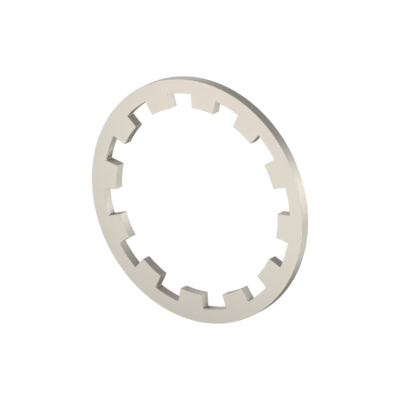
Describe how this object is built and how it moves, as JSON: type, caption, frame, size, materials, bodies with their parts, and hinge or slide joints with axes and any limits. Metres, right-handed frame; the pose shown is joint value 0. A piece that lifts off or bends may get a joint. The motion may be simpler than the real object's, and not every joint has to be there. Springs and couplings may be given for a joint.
{
  "type": "lock washer",
  "caption": "Flat steel ring with square-ended teeth around the inside, which slips over a splined shaft and cannot turn on it.",
  "frame": {"origin": "under the ring's centre, on the plane that it lies on", "axes": "+Z along the hole, up out of the face with the larger edge break; +X through the middle of a tooth"},
  "size_m": [0.075, 0.075, 0.0032],
  "materials": {
    "steel": "satin faces, with walls as sheared"
  },
  "bodies": {
    "root": {"lock_washer": "steel"}
  },
  "joints": []
}
